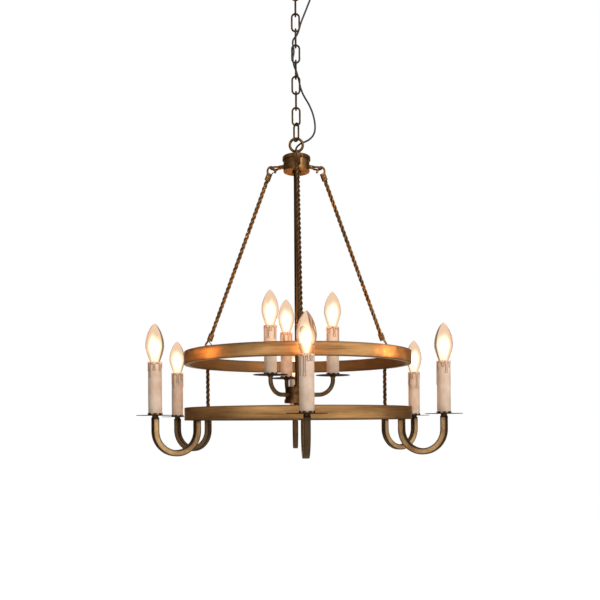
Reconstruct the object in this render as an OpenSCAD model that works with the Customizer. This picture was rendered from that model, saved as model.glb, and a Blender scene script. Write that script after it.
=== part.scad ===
// Wagon wheel chandelier: a wheel of two brass rings hangs on three twisted rods
// below a small hub, and a stem under the same hub carries an inner cluster.
// Six candle lamps stand round the wheel and three stand on the cluster.
// Origin: middle of the ceiling plane, +Z up, so the whole part lies below z = 0.
// The first rod and the first arm point along -Y.

/* [Ceiling fitting] */
// Diameter of the canopy against the ceiling
canopy_d = 125; // [100:1:150]
// Height of the canopy
canopy_h = 28; // [22:1:40]
// Sheet thickness of the canopy
canopy_wall = 1.2; // [0.8:0.1:2]
// Distance between the two ceiling screws
screw_spacing = 70; // [60:1:80]
// Radius of each ceiling screw hole
screw_hole_r = 2.6; // [2:0.1:3]
// Thickness of the ceiling bracket
bracket_t = 2; // [1.5:0.1:3]
// Width of the ceiling bracket
bracket_w = 20; // [16:1:26]
// Outer diameter of the loop under the canopy
loop_d = 30; // [26:1:36]
// Wire diameter of the loop under the canopy
loop_wire = 5; // [4:0.1:6]
// Height of the nut that clamps the canopy
collar_h = 4; // [3:0.5:6]
// Distance of the cord inlet from the middle of the canopy
inlet_x = 31; // [28:1:34]
// Length of the tapered cord grip under the canopy
grip_l = 15; // [12:0.5:16]

/* [Chain] */
// Wire diameter of a chain link
link_wire = 3.8; // [3:0.1:4.2]
// Inside length of a chain link
link_inner_l = 33; // [30:0.1:36]
// Outside width of a chain link
link_w = 19.3; // [18:0.1:22]
// Turn of the lowest link out of the plane square to the hub ring
last_link_turn = 35; // [0:1:45]
// Clearance where two links or hooks bear on each other
hang_gap = 0.3; // [0.25:0.05:0.5]
// Outer diameter of the ring that carries the hub
hub_ring_d = 32.7; // [30:0.1:38]
// Wire diameter of the ring that carries the hub
hub_ring_wire = 5.6; // [4.5:0.1:6]

/* [Top hub] */
// Diameter of the hub's lid
lid_d = 58.5; // [56:0.5:62]
// Height of the hub's lid
lid_h = 8; // [6:0.5:8]
// Diameter of the hub's shell
shell_d = 54.5; // [50:0.5:55]
// Height of the hub from its underside to the top of the lid
hub_h = 31.5; // [28:0.5:36]
// Sheet thickness of the hub's shell and lid
hub_wall = 1.5; // [1:0.1:2]
// Wire diameter of the eye on top of the hub
eye_wire = 3; // [2.5:0.1:3.5]
// Height of the post between the lid and the eye
eye_post_h = 3.5; // [3:0.5:9]
// Diameter of the raised collar that takes in the cord
cord_collar_d = 8; // [6:0.5:9]
// Height of the raised collar that takes in the cord
cord_collar_h = 4; // [3:0.5:5]
// Distance of the rods' upper pivots from the axis
top_pivot_r = 61; // [58:1:68]
// Depth of the rods' upper pivots below the top of the lid
top_pivot_drop = 15.5; // [12:0.5:17]
// Wire diameter of the three loops round the hub
side_loop_wire = 4; // [3:0.1:4.5]
// Length of the straight wires between a side loop's two bends
side_loop_l = 3; // [2:0.5:8]
// Diameter of the necks that carry the side loops
side_neck_d = 8; // [6:0.5:9]

/* [Rods] */
// Length of a rod between its upper and lower pivots
rod_l = 404; // [340:0.5:460]
// Diameter of the twisted rods
rod_d = 9; // [6:0.5:10]
// Length in which the twist goes round once
twist_lay = 34; // [24:1:40]
// Diameter of the sleeves crimped on the rods' ends
ferrule_d = 12.5; // [11:0.5:14]
// Length of the sleeves crimped on the rods' ends
ferrule_l = 16; // [12:0.5:22]
// Wire diameter of the hooks
hook_wire = 4.4; // [3.5:0.1:5]
// Radius of the upper hook's bend
top_hook_r = 8; // [7.5:0.1:9]
// Radius of the lower hook's bend
low_hook_r = 6; // [5.5:0.1:7]
// Length of the lower hook's shank below its crimped sleeve
low_hook_shank = 9.5; // [6:0.5:12]
// Diameter of the thin feed wire
feed_d = 2; // [1.6:0.1:2.4]

/* [Wheel] */
// Outer diameter of both rings
ring_d = 470; // [440:1:500]
// Height of each ring's band
ring_h = 26; // [20:0.5:32]
// Depth of each ring's band from outside to inside
ring_t = 12; // [10:0.5:14]
// Wall of the rings' box tube
ring_wall = 1.5; // [1:0.1:2]
// Free height between the two rings
ring_gap = 88; // [70:1:110]
// Diameter of the twisted posts between the rings
post_d = 8.5; // [6:0.5:9.5]
// Outer height of an eye bolt's loop
bolt_loop_d = 20; // [18:0.5:26]
// Wire diameter of an eye bolt
bolt_wire = 3.5; // [3:0.1:4]
// Length of an eye bolt's stem
bolt_stem = 8.7; // [6:0.1:14]

/* [Outer arms] */
// Side of the arms' square tube
arm_t = 12; // [11:0.5:13]
// Wall of the arms' square tube
arm_wall = 1.2; // [1:0.1:1.4]
// Radius of an arm's bend
arm_bend_r = 42.5; // [36:0.5:48]
// Length of an arm's straight inner leg
arm_inner_leg = 20; // [14:0.5:28]
// Length of an arm's straight outer leg
arm_outer_leg = 25.5; // [20:0.5:32]
// Extra turn of the front arm about the wheel's axis
front_arm_turn = 1.2; // [0:0.1:2]

/* [Inner cluster] */
// Diameter of the stem
stem_d = 12; // [10:0.5:14]
// Wall of the stem
stem_wall = 1.5; // [1:0.1:2]
// Length of the stem between the two hubs
stem_l = 449.5; // [400:0.5:480]
// Diameter of the cluster's body
cluster_d = 53; // [48:0.5:56]
// Height of the cluster's body
cluster_body_h = 26; // [22:0.5:32]
// Diameter of the cluster's base
cluster_base_d = 57; // [56.5:0.5:62]
// Height of the cluster's base
cluster_base_h = 8; // [5:0.5:10]
// Distance of the inner candles from the axis
inner_r = 75.5; // [72:0.5:84]
// Diameter of the inner arms
inner_arm_d = 9; // [8:0.5:10]
// Radius of an inner arm's bend
inner_bend_r = 30; // [24:0.5:34]
// Height of an inner arm's straight top
inner_arm_rise = 5.5; // [4:0.5:20]
// Turn of the left and right inner arms about the axis
inner_turn = 11.4; // [0:0.1:15]
// Turn of the rear inner arm about the axis
rear_inner_turn = 17.5; // [0:0.1:20]

/* [Candles] */
// Diameter of a drip pan
pan_d = 70; // [60:1:76]
// Thickness of a drip pan
pan_t = 1; // [0.8:0.1:1.5]
// Outer diameter of a candle sleeve
sleeve_d = 26; // [24.5:0.5:30]
// Length of a candle sleeve
sleeve_l = 98; // [85:1:110]
// Wall of a candle sleeve
sleeve_wall = 1.6; // [1:0.1:1.8]
// Height of the notched cup round a sleeve's foot
cup_h = 3.6; // [3:0.1:6]
// Sheet thickness of the notched cup
cup_wall = 0.8; // [0.6:0.1:1.2]
// Number of notches round the cup
cup_notches = 8; // [6:1:10]
// Height of the nut under a pan
nut_h = 3.6; // [3:0.1:5]
// Outer diameter of the nut under a pan
nut_d = 12; // [11.5:0.5:14]
// Outer diameter of the lamp socket
socket_d = 19.5; // [18:0.5:20]
// Diameter of the nipple that carries a socket
nipple_d = 9; // [8:0.5:9]

/* [Bulbs] */
// Largest diameter of a bulb
bulb_d = 35; // [32:0.5:38]
// Height of a bulb's glass above the sleeve
bulb_top_h = 73.4; // [68:0.1:80]
// Height of a bulb's widest place above the sleeve
bulb_wide_h = 30; // [26:0.5:34]
// Radius of the glass level with the sleeve's top
bulb_mouth_r = 8.9; // [7.5:0.1:9.2]
// Wall of the glass
glass_wall = 0.8; // [0.6:0.1:1]
// Diameter of a bulb's screw cap
cap_d = 13.8; // [13:0.1:14]
// Length of a bulb's screw cap
cap_l = 22; // [20:0.5:25]
// Depth of the cap's top below the sleeve's top
cap_drop = 5; // [4:0.5:8]
// Clearance between a bulb's cap and its socket
cap_gap = 0.3; // [0.2:0.05:0.5]

/* [Hidden] */
$fn = 64;
slip = 0.1;
overlap = 0.5;

// Ceiling fitting: the loop hangs in the YZ plane, so its lowest wire runs along Y
loop_sink = 0.8;
loop_z = -canopy_h - collar_h - loop_d / 2 + loop_sink;
loop_bearing_z = loop_z - loop_d / 2 + loop_wire;
shank_d = 10;

// Chain: each link's upper wire bears on the wire above it
link_count = 10;
link_bend_r = (link_w - link_wire) / 2;
link_pitch = link_inner_l - hang_gap;
function link_top(i) = loop_bearing_z + hang_gap - (i - 1) * link_pitch;
chain_bearing_z = link_top(link_count) - link_inner_l;

// Hub ring and the hub under it
hub_ring_z = chain_bearing_z + hang_gap - hub_ring_d / 2 + hub_ring_wire;
hub_ring_bearing_z = hub_ring_z - hub_ring_d / 2 + hub_ring_wire;
eye_hole_r = hub_ring_wire / 2 + 0.9;
eye_r = eye_hole_r + eye_wire / 2;
eye_z = hub_ring_bearing_z + hang_gap - eye_hole_r;
lid_top_z = eye_z - eye_r - eye_wire / 2 - eye_post_h;
hub_bottom_z = lid_top_z - hub_h;

// Rods: from the loops round the hub to the eye bolts on the wheel
rod_angles = [-90, 30, 150];
top_pivot_z = lid_top_z - top_pivot_drop;
ring_mid_r = ring_d / 2 - ring_t / 2;
rod_run = ring_mid_r - top_pivot_r;
rod_fall = sqrt(rod_l * rod_l - rod_run * rod_run);
low_pivot_z = top_pivot_z - rod_fall;
rod_tilt = atan2(rod_run, rod_fall);
top_hook_drop = top_hook_r - hook_wire / 2 - hang_gap - side_loop_wire / 2;
sway_gap = 0.2;
low_hook_lift = low_hook_r - hook_wire / 2 - hang_gap - sway_gap - bolt_wire / 2;
ferrule_lap = 2;
top_ferrule_d = top_hook_drop + top_hook_r - ferrule_lap;
low_hook_lean = 18;
low_ferrule_d = low_hook_lift + low_hook_r * sin(low_hook_lean) + low_hook_shank * cos(low_hook_lean);
hook_leg = 12;
strand_valley = 0.64;
strand_half = 28;
twist_steps = 8;

// Loops round the hub, each an eye drawn out towards the hub
side_loop_r = 8;
side_nut_d = min(11, 2 * (top_pivot_drop - lid_h) - 4 * slip);
side_nut_h = 4;
side_loop_mid = top_pivot_r - side_loop_r;

// Wheel heights, worked down from the rods' lower pivots
bolt_loop_r = (bolt_loop_d - bolt_wire) / 2;
ring_top_z = low_pivot_z + bolt_wire / 2 - bolt_loop_d - bolt_stem;
upper_ring_z = ring_top_z - ring_h;
lower_ring_z = upper_ring_z - ring_gap - ring_h;
ring_chamfer = 0.8;
wire_hole_r = 2.5;
bolt_base_d = 10;
bolt_base_h = 2.5;

// Outer arms, from under the lower ring out to the candles
arm_angles = [-90 + front_arm_turn, -30, 30, 90, 150, 210];
arm_centre_z = lower_ring_z - arm_inner_leg;
outer_r = ring_mid_r + 2 * arm_bend_r;
outer_seat_z = arm_centre_z + arm_outer_leg;

// Inner cluster, at the lower end of the stem
cluster_top_z = hub_bottom_z - stem_l;
stem_nut_d = stem_d + 6;
cluster_base_z = cluster_top_z - cluster_body_h - cluster_base_h;
inner_arm_z = cluster_top_z - cluster_body_h / 2 - cluster_base_h / 2;
inner_angles = [90 + rear_inner_turn, 210 + inner_turn, 330 + inner_turn];
inner_seat_z = inner_arm_z + inner_bend_r + inner_arm_rise;

// Heights in a candle above the seat of its nut
pan_z = nut_h;
cup_z = pan_z + pan_t;
sleeve_z = cup_z + cup_wall;
sleeve_top = sleeve_z + sleeve_l;
socket_rim = sleeve_top - cap_drop - 2;
socket_floor = sleeve_top - cap_drop - cap_l - cap_gap;
socket_base_t = 3;
nipple_sink = 5;
thread_h = 16;
contact_d = 5;
cone_d = 9;
glass_steps = 14;

// Route of the power cord from the collar on the lid up to the grip on the canopy
cord_d = 3.8;
cord_sides = 8;
cord_route = [
  [-2, 12, -414], [-2, 12, -408], [-1.5, 12, -402], [0.5, 11.5, -395], [5.5, 10.5, -389.5],
  [12, 9.5, -385.5], [20, 8, -383], [28, 6, -379], [34.5, 4, -373], [38.5, 2, -365],
  [39.5, 0, -356], [39, 0, -347], [37.5, 0, -338], [34.5, 0, -326.5], [30.5, 0.5, -316],
  [26, 1.5, -306], [20.5, 3, -296], [15.5, 5, -286], [12, 6.2, -277], [9, 6.3, -267],
  [7, 5.5, -258], [4.5, 3.5, -249], [1.5, 0.5, -240], [-2.5, -2, -232], [-5, -4, -223.5],
  [-6.2, -5, -215], [-4.5, -4.6, -206], [-3.8, -4.4, -199], [-5, -4.6, -191],
  [-6.3, -5, -183], [-5.2, -3.8, -176], [-1.5, -1, -169], [2.5, 2.5, -162.5],
  [5.5, 5.2, -155], [8, 6, -147], [10.5, 5.5, -138], [14, 4.5, -129], [18, 3.5, -119.5],
  [22.5, 2.5, -109], [27, 1.5, -98], [31.5, 1, -87], [35, 0.5, -76], [36.5, 0, -65],
  [35, 0, -55], [31.8, 0, -48], [31, 0, -43]
];

// Feed wire: places in the left rod's plane, as run and rise from its upper pivot
feed_angle = rod_angles[2];
feed_side = -8;
feed_drop = -2.5;
feed_hole_r = 3.2;
shell_run = shell_d / 2 - top_pivot_r;
function in_rod(run, aside, rise) =
  [run * cos(rod_tilt) + rise * sin(rod_tilt), aside, rise * cos(rod_tilt) - run * sin(rod_tilt)];
function at_ring(run, aside, rise) =
  in_rod(run + rod_run, aside, rise + ring_top_z - top_pivot_z);
feed_top_route = [
  in_rod(shell_run - hub_wall - 2, feed_side, feed_drop),
  in_rod(shell_run + 3, feed_side, feed_drop),
  in_rod((shell_run - 20) / 2, -8.9, -1.4), in_rod(-23, -10.3, -0.2), in_rod(-17, -12, 0.8),
  in_rod(-11, -12.3, 0.8), in_rod(-7, -12, -0.6), in_rod(-4.5, -10.8, -2.8),
  in_rod(-3.5, -9, -5), [-5.6, -7, -4.7], [-4.5, -5.3, -5.3],
  [-3.6, -4.4, -6.8], [-3.3, -4.2, -top_ferrule_d]
];
feed_hole_aside = 7.8;
feed_low_route = [
  [-3.3, 4.2, low_ferrule_d - rod_l], [-4.3, 4.2, low_ferrule_d - rod_l - 2.2],
  at_ring(-11.2, 4.1, 31.8), at_ring(-14.4, 4, 27.6), at_ring(-16.7, 4.2, 22.3),
  at_ring(-16.6, 4.8, 16.6), at_ring(-13.8, 5.8, 11), at_ring(-9, 6.8, 6.9),
  at_ring(-4.2, 7.6, 4.4), at_ring(-1.2, feed_hole_aside, 1.8), at_ring(-0.5, feed_hole_aside, -2.2)
];

// Brass, bronze and the other finishes
brass = "#9a7a46";
bronze = "#4a3722";
ivory = "#d8c4a6";
porcelain = "#e8e4da";
black = "#161514";
glass = [1, 0.92, 0.78, 0.45];

// A value at x between two others
function lerp(a, b, x) = a + (b - a) * x;

// A unit vector along v
function unit(v) = v / norm(v);

// The direction of a route at point i, from its neighbours
function route_dir(p, i) =
  unit(p[min(i + 1, len(p) - 1)] - p[max(i - 1, 0)]);

// Points of one ring of a tube, square to the direction t
function ring_points(c, t, r, n) =
  let (u = unit(cross(t, abs(t[1]) > 0.9 ? [1, 0, 0] : [0, 1, 0])), v = cross(u, t))
  [for (k = [0 : n - 1]) c + r * (cos(360 * k / n) * u + sin(360 * k / n) * v)];

// A tube swept along a route, with a flat level face where an end is held
module swept_tube(p, d, n, level_start, level_end) {
  last = len(p) - 1;
  dirs = [
    for (i = [0 : last])
      (i == 0 && level_start) || (i == last && level_end)
        ? [0, 0, sign(p[last][2] - p[0][2])]
        : route_dir(p, i)
  ];
  points = [for (i = [0 : last]) each ring_points(p[i], dirs[i], d / 2, n)];
  walls = [
    for (i = [0 : last - 1], k = [0 : n - 1])
      let (a = i * n + k, b = i * n + (k + 1) % n)
      each [[a, b, a + n], [b, b + n, a + n]]
  ];
  start_cap = [[for (k = [n - 1 : -1 : 0]) k]];
  end_cap = [[for (k = [0 : n - 1]) last * n + k]];
  polyhedron(points = points, faces = concat(walls, start_cap, end_cap));
}

// Part of a wire ring in the XZ plane, from angle a0 over the sweep a
module wire_arc(r, wire, a0, a) {
  rotate([90, 0, 0])
    rotate([0, 0, a0])
      rotate_extrude(angle = a)
        translate([r, 0])
          circle(d = wire, $fn = 32);
}

// A whole wire ring in the XZ plane
module wire_ring(r, wire) {
  rotate([90, 0, 0])
    rotate_extrude()
      translate([r, 0])
        circle(d = wire, $fn = 32);
}

// A straight piece of wire from a to b in the XZ plane
module wire_bar(a, b, wire) {
  translate([a[0], 0, a[1]])
    rotate([0, atan2(b[0] - a[0], b[1] - a[1]), 0])
      cylinder(d = wire, h = norm(b - a), $fn = 32);
}

// Outline of three strands laid together
module strand_outline(d) {
  polygon([
    for (k = [0 : 2])
      each [
        for (s = [[-strand_half, 0.97], [strand_half, 0.97], [60, strand_valley]])
          d / 2 * s[1] * [cos(120 * k + s[0]), sin(120 * k + s[0])]
      ]
  ]);
}

// Three strands twisted together, standing on z = 0
module twisted_bar(length, d) {
  linear_extrude(
    height = length,
    twist = -360 * length / twist_lay,
    slices = ceil(twist_steps * length / twist_lay),
    segments = 9
  )
    strand_outline(d);
}

// One chain link in the XZ plane, its inner top at z = 0
module chain_link_shape() {
  straight = link_inner_l - 2 * (link_bend_r - link_wire / 2);
  top_z = -(link_bend_r - link_wire / 2);
  translate([0, 0, top_z])
    wire_arc(link_bend_r, link_wire, 0, 180);
  translate([0, 0, top_z - straight])
    wire_arc(link_bend_r, link_wire, 180, 180);
  for (side = [-1, 1])
    translate([side * link_bend_r, 0, top_z - straight])
      cylinder(d = link_wire, h = straight, $fn = 32);
}

// Link i counted from the ceiling: odd links face the front, even ones stand square to it
module chain_link(i) {
  turn = i == link_count ? 90 + last_link_turn : (i % 2 == 0 ? 90 : 0);
  color(bronze)
    translate([0, 0, link_top(i)])
      rotate([0, 0, turn])
        chain_link_shape();
}

module ceiling_bracket() {
  length = screw_spacing + 2 * bracket_w * 0.6;
  color("silver")
    translate([0, 0, -bracket_t])
      difference() {
        translate([-length / 2, -bracket_w / 2, 0])
          cube([length, bracket_w, bracket_t]);
        for (side = [-1, 1])
          translate([side * screw_spacing / 2, 0, -1])
            cylinder(r = screw_hole_r, h = bracket_t + 2);
        translate([0, 0, -1])
          cylinder(d = shank_d + 2 * slip, h = bracket_t + 2);
      }
}

// Half section of the canopy's outside, drawn inwards by w, from the rim to the middle
function canopy_half(w) =
  let (r = canopy_d / 2, shoulder = 14)
  concat(
    [[0, 0], [r - w, 0]],
    [
      for (k = [0 : 6])
        [r - shoulder + (shoulder - w) * cos(15 * k),
         -canopy_h + shoulder - (shoulder - w) * sin(15 * k)]
    ],
    [[0, -canopy_h + w]]
  );

module canopy() {
  color(bronze)
    difference() {
      rotate_extrude()
        polygon(canopy_half(0));
      translate([0, 0, slip / 10])
        rotate_extrude()
          polygon(canopy_half(canopy_wall));
      translate([0, 0, -canopy_h - 1])
        cylinder(d = shank_d + 2 * slip, h = canopy_wall + 2);
      translate([inlet_x, 0, -canopy_h - 1])
        cylinder(d = cord_d + 2, h = canopy_wall + 2);
    }
}

// Loop with its threaded shank, and the nut on the shank that clamps the canopy
module canopy_loop() {
  shank_top = -0.5;
  color(bronze) {
    translate([0, 0, loop_z])
      rotate([0, 0, 90])
        wire_ring((loop_d - loop_wire) / 2, loop_wire);
    translate([0, 0, -canopy_h - collar_h - 0.6])
      cylinder(d = shank_d, h = canopy_h + collar_h + 0.6 + shank_top);
    translate([0, 0, -canopy_h - collar_h])
      cylinder(d = shank_d + 9, h = collar_h);
  }
}

// Tapered cord grip, screwed into the canopy from below
module cord_grip() {
  color(black)
    translate([inlet_x, 0, -canopy_h - grip_l])
      difference() {
        union() {
          cylinder(d1 = cord_d + 2.4, d2 = cord_d + 6, h = grip_l - 2);
          translate([0, 0, grip_l - 2])
            cylinder(d = cord_d + 9, h = 2);
          translate([0, 0, grip_l])
            cylinder(d = cord_d + 1.8, h = canopy_wall + 3);
        }
        translate([0, 0, 1])
          cylinder(d = cord_d, h = grip_l + canopy_wall + 3);
      }
}

module hub_ring() {
  color(brass)
    translate([0, 0, hub_ring_z])
      wire_ring((hub_ring_d - hub_ring_wire) / 2, hub_ring_wire);
}

// Eye that hangs on the hub ring, with its post and the flange on the lid
module hub_eye() {
  post_d = 8;
  flange_d = 15;
  color(bronze) {
    translate([0, 0, eye_z])
      rotate([0, 0, 90])
        wire_ring(eye_r, eye_wire);
    translate([0, 0, lid_top_z])
      cylinder(d = post_d, h = eye_post_h + eye_wire * 0.6);
    translate([0, 0, lid_top_z])
      cylinder(d = flange_d, h = 2);
    translate([0, 0, lid_top_z - hub_wall - 4])
      cylinder(d = shank_d, h = hub_wall + 4);
  }
}

module hub_lid() {
  edge = 3;
  color(bronze)
    translate([0, 0, lid_top_z])
      difference() {
        union() {
          rotate_extrude()
            polygon(concat(
              [[0, -lid_h], [lid_d / 2, -lid_h]],
              [for (k = [0 : 5]) [lid_d / 2 - edge + edge * cos(18 * k), -edge + edge * sin(18 * k)]],
              [[0, 0]]
            ));
          translate([-2, 12, -hub_wall])
            cylinder(d = cord_collar_d, h = hub_wall + cord_collar_h);
        }
        translate([0, 0, -lid_h - 1])
          cylinder(d = shell_d + 2 * slip, h = lid_h + 1 - hub_wall);
        translate([0, 0, -hub_wall - 1])
          cylinder(d = shank_d + 2 * slip, h = hub_wall + 2);
        translate([-2, 12, -hub_wall - 1])
          cylinder(d = cord_d - 0.4, h = hub_wall + cord_collar_h + 2);
      }
}

module hub_shell() {
  color(bronze)
    difference() {
      translate([0, 0, hub_bottom_z])
        cylinder(d = shell_d, h = hub_h - hub_wall);
      translate([0, 0, hub_bottom_z + hub_wall])
        cylinder(d = shell_d - 2 * hub_wall, h = hub_h);
      translate([0, 0, hub_bottom_z - 1])
        cylinder(d = stem_d + 2 * slip, h = hub_wall + 2);
      for (a = rod_angles)
        rotate([0, 0, a])
          translate([0, 0, top_pivot_z])
            rotate([0, 90, 0])
              cylinder(d = side_neck_d + 2 * slip, h = shell_d);
      rotate([0, 0, feed_angle])
        translate([0, feed_side, top_pivot_z + feed_drop])
          rotate([0, 90, 0])
            cylinder(r = feed_hole_r, h = shell_d);
    }
}

// One drawn-out eye in the level plane, pointing along +X, with neck and nuts
module side_loop() {
  far = side_loop_mid;
  near = far - side_loop_l;
  neck_end = near - side_loop_r;
  neck_start = shell_d / 2 - hub_wall - side_nut_h;
  translate([far, 0, 0])
    rotate([90, 0, 0])
      wire_arc(side_loop_r, side_loop_wire, -90, 180);
  translate([near, 0, 0])
    rotate([90, 0, 0])
      wire_arc(side_loop_r, side_loop_wire, 90, 180);
  for (side = [-1, 1])
    translate([near, side * side_loop_r, 0])
      rotate([0, 90, 0])
        cylinder(d = side_loop_wire, h = side_loop_l, $fn = 32);
  translate([neck_start, 0, 0])
    rotate([0, 90, 0])
      cylinder(d = side_neck_d, h = neck_end - neck_start + side_loop_wire / 4);
  translate([shell_d / 2, 0, 0])
    rotate([0, 90, 0])
      cylinder(d = side_nut_d, h = side_nut_h / 2);
}

module hub_side_loops() {
  color(bronze)
    for (a = rod_angles)
      rotate([0, 0, a])
        translate([0, 0, top_pivot_z])
          side_loop();
}

// Terminal block inside the hub, with one screw in each of its three ways
module hub_connector() {
  way = 8;
  height = 9;
  front = stem_nut_d / 2 + overlap;
  room = shell_d / 2 - hub_wall - 1;
  depth = sqrt(room * room - 2.25 * way * way) - front;
  color(porcelain)
    translate([-1.5 * way, front, hub_bottom_z + hub_wall])
      difference() {
        cube([3 * way, depth, height]);
        for (k = [0 : 2])
          translate([(k + 0.5) * way, -1, height / 2])
            rotate([-90, 0, 0])
              cylinder(d = 4, h = depth + 2);
      }
}

// Stem through the hub's floor, held above and below by a nut, and into the cluster
module stem() {
  stem_top = hub_bottom_z + hub_wall + 6;
  stem_bottom = cluster_base_z - 6;
  nut_t = 4;
  color(brass) {
    translate([0, 0, stem_bottom])
      difference() {
        cylinder(d = stem_d, h = stem_top - stem_bottom);
        translate([0, 0, -1])
          cylinder(d = stem_d - 2 * stem_wall, h = stem_top - stem_bottom + 2);
      }
    for (z = [hub_bottom_z + hub_wall, hub_bottom_z - nut_t, cluster_top_z, cluster_base_z - nut_t])
      translate([0, 0, z])
        difference() {
          cylinder(d = stem_nut_d, h = nut_t);
          translate([0, 0, -1])
            cylinder(d = stem_d - stem_wall, h = nut_t + 2);
        }
  }
}

module cluster_body() {
  color(bronze)
    difference() {
      translate([0, 0, cluster_top_z - cluster_body_h])
        cylinder(d = cluster_d, h = cluster_body_h);
      translate([0, 0, cluster_top_z - cluster_body_h - 1])
        cylinder(d = cluster_d - 2 * hub_wall, h = cluster_body_h + 1 - hub_wall);
      translate([0, 0, cluster_top_z - hub_wall - 1])
        cylinder(d = stem_d + 2 * slip, h = hub_wall + 2);
      for (a = inner_angles)
        rotate([0, 0, a])
          translate([0, 0, inner_arm_z])
            rotate([0, 90, 0])
              cylinder(d = inner_arm_d + 2 * slip, h = cluster_d);
    }
}

module cluster_base() {
  color(bronze)
    difference() {
      translate([0, 0, cluster_base_z])
        cylinder(d = cluster_base_d, h = cluster_base_h);
      translate([0, 0, cluster_base_z + hub_wall])
        cylinder(d = cluster_d - 2 * hub_wall, h = cluster_base_h);
      translate([0, 0, cluster_base_z - 1])
        cylinder(d = stem_d + 2 * slip, h = hub_wall + 2);
    }
}

// Round tube from the cluster's wall out and up to a candle's seat, along +X
module inner_arm() {
  bend_x = inner_r - inner_bend_r;
  start_x = cluster_d / 2 - hub_wall - 3;
  bore = inner_arm_d - 2;
  difference() {
    union() {
      translate([start_x, 0, 0])
        rotate([0, 90, 0])
          cylinder(d = inner_arm_d, h = bend_x - start_x);
      translate([bend_x, 0, inner_bend_r])
        wire_arc(inner_bend_r, inner_arm_d, 270, 90);
      translate([inner_r, 0, inner_bend_r])
        cylinder(d = inner_arm_d, h = inner_arm_rise);
    }
    translate([start_x - 1, 0, 0])
      rotate([0, 90, 0])
        cylinder(d = bore, h = bend_x - start_x + 1);
    translate([bend_x, 0, inner_bend_r])
      wire_arc(inner_bend_r, bore, 270, 90);
    translate([inner_r, 0, inner_bend_r])
      cylinder(d = bore, h = inner_arm_rise + 1);
  }
}

module inner_arms() {
  color(brass)
    for (a = inner_angles)
      rotate([0, 0, a])
        translate([0, 0, inner_arm_z])
          inner_arm();
}

// Puts its children on every seat of the outer or the inner candles
module at_candles(angles, r, z) {
  for (a = angles)
    rotate([0, 0, a])
      translate([r, 0, z])
        children();
}

module at_outer() {
  at_candles(arm_angles, outer_r, outer_seat_z)
    children();
}

module at_inner() {
  at_candles(inner_angles, inner_r, inner_seat_z)
    children();
}

module drip_pan() {
  color(bronze)
    translate([0, 0, pan_z])
      difference() {
        cylinder(d = pan_d, h = pan_t);
        translate([0, 0, -1])
          cylinder(d = nipple_d + 2 * slip, h = pan_t + 2);
      }
}

// Shallow cup round the sleeve's foot, its wall cut into square teeth
module notched_cup() {
  inner = sleeve_d + 2 * slip;
  outer = inner + 2 * cup_wall;
  notch_w = PI * outer / cup_notches / 2;
  color(bronze)
    translate([0, 0, cup_z])
      difference() {
        cylinder(d = outer, h = cup_h);
        translate([0, 0, cup_wall])
          cylinder(d = inner, h = cup_h);
        translate([0, 0, -1])
          cylinder(d = nipple_d + 2 * slip, h = cup_wall + 2);
        for (k = [0 : cup_notches - 1])
          rotate([0, 0, 360 * k / cup_notches])
            translate([inner / 2 - 2, -notch_w / 2, cup_wall])
              cube([cup_wall + 4, notch_w, cup_h]);
      }
}

// Lamp socket on its threaded nipple, with the nut on the arm's end that clamps the pan
module lamp_socket(sink) {
  color(porcelain)
    difference() {
      union() {
        translate([0, 0, socket_floor - socket_base_t])
          cylinder(d = socket_d, h = socket_rim - socket_floor + socket_base_t);
        translate([0, 0, -sink])
          cylinder(d = nipple_d, h = socket_floor - socket_base_t + sink);
      }
      translate([0, 0, socket_floor])
        cylinder(d = cap_d + 2 * cap_gap, h = socket_rim);
      translate([0, 0, -sink - 1])
        cylinder(d = nipple_d - 3, h = socket_floor + sink + 2);
    }
  color(bronze)
    difference() {
      cylinder(d = nut_d, h = nut_h);
      translate([0, 0, -1])
        cylinder(d = nipple_d + slip, h = nut_h + 2);
    }
}

module candle_sleeve() {
  color(ivory)
    translate([0, 0, sleeve_z])
      difference() {
        cylinder(d = sleeve_d, h = sleeve_l);
        translate([0, 0, -1])
          cylinder(d = sleeve_d - 2 * sleeve_wall, h = sleeve_l + 2);
      }
}

module inner_pans() { at_inner() drip_pan(); }
module inner_cups() { at_inner() notched_cup(); }
module inner_sockets() { at_inner() lamp_socket(0); }
module inner_sleeves() { at_inner() candle_sleeve(); }
module outer_pans() { at_outer() drip_pan(); }
module outer_cups() { at_outer() notched_cup(); }
module outer_sockets() { at_outer() lamp_socket(nipple_sink); }
module outer_sleeves() { at_outer() candle_sleeve(); }

// Twisted rod in its own frame: upper pivot at the origin, rod down along -Z,
// and the hub on the side of -X
module rod_shape() {
  top_end = top_ferrule_d;
  low_end = rod_l - low_ferrule_d;
  low_mid = -rod_l + low_hook_lift;
  translate([0, 0, -top_hook_drop])
    wire_arc(top_hook_r, hook_wire, -70, 200);
  leg_way = [cos(220), sin(220)];
  arc_end = [top_hook_r * cos(130), top_hook_r * sin(130) - top_hook_drop];
  wire_bar(arc_end - overlap * leg_way, arc_end + hook_leg * leg_way, hook_wire - 2 * slip);
  translate([0, 0, low_mid])
    wire_arc(low_hook_r, hook_wire, 150, 210 + low_hook_lean);
  shank_way = [-sin(low_hook_lean), cos(low_hook_lean)];
  shank_low = [low_hook_r * cos(low_hook_lean), low_mid + low_hook_r * sin(low_hook_lean)];
  shank_end = shank_low + (low_hook_shank + ferrule_lap) * shank_way;
  wire_bar(shank_low - overlap * shank_way, shank_end, hook_wire - 2 * slip);
  for (z = [-top_end - ferrule_l, -low_end])
    translate([0, 0, z])
      cylinder(d = ferrule_d, h = ferrule_l);
  translate([0, 0, -low_end + ferrule_l])
    twisted_bar(low_end - top_end - 2 * ferrule_l, rod_d);
}

module rod(a) {
  color(brass)
    rotate([0, 0, a])
      translate([top_pivot_r, 0, top_pivot_z])
        rotate([0, -rod_tilt, 0])
          rod_shape();
}

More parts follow.
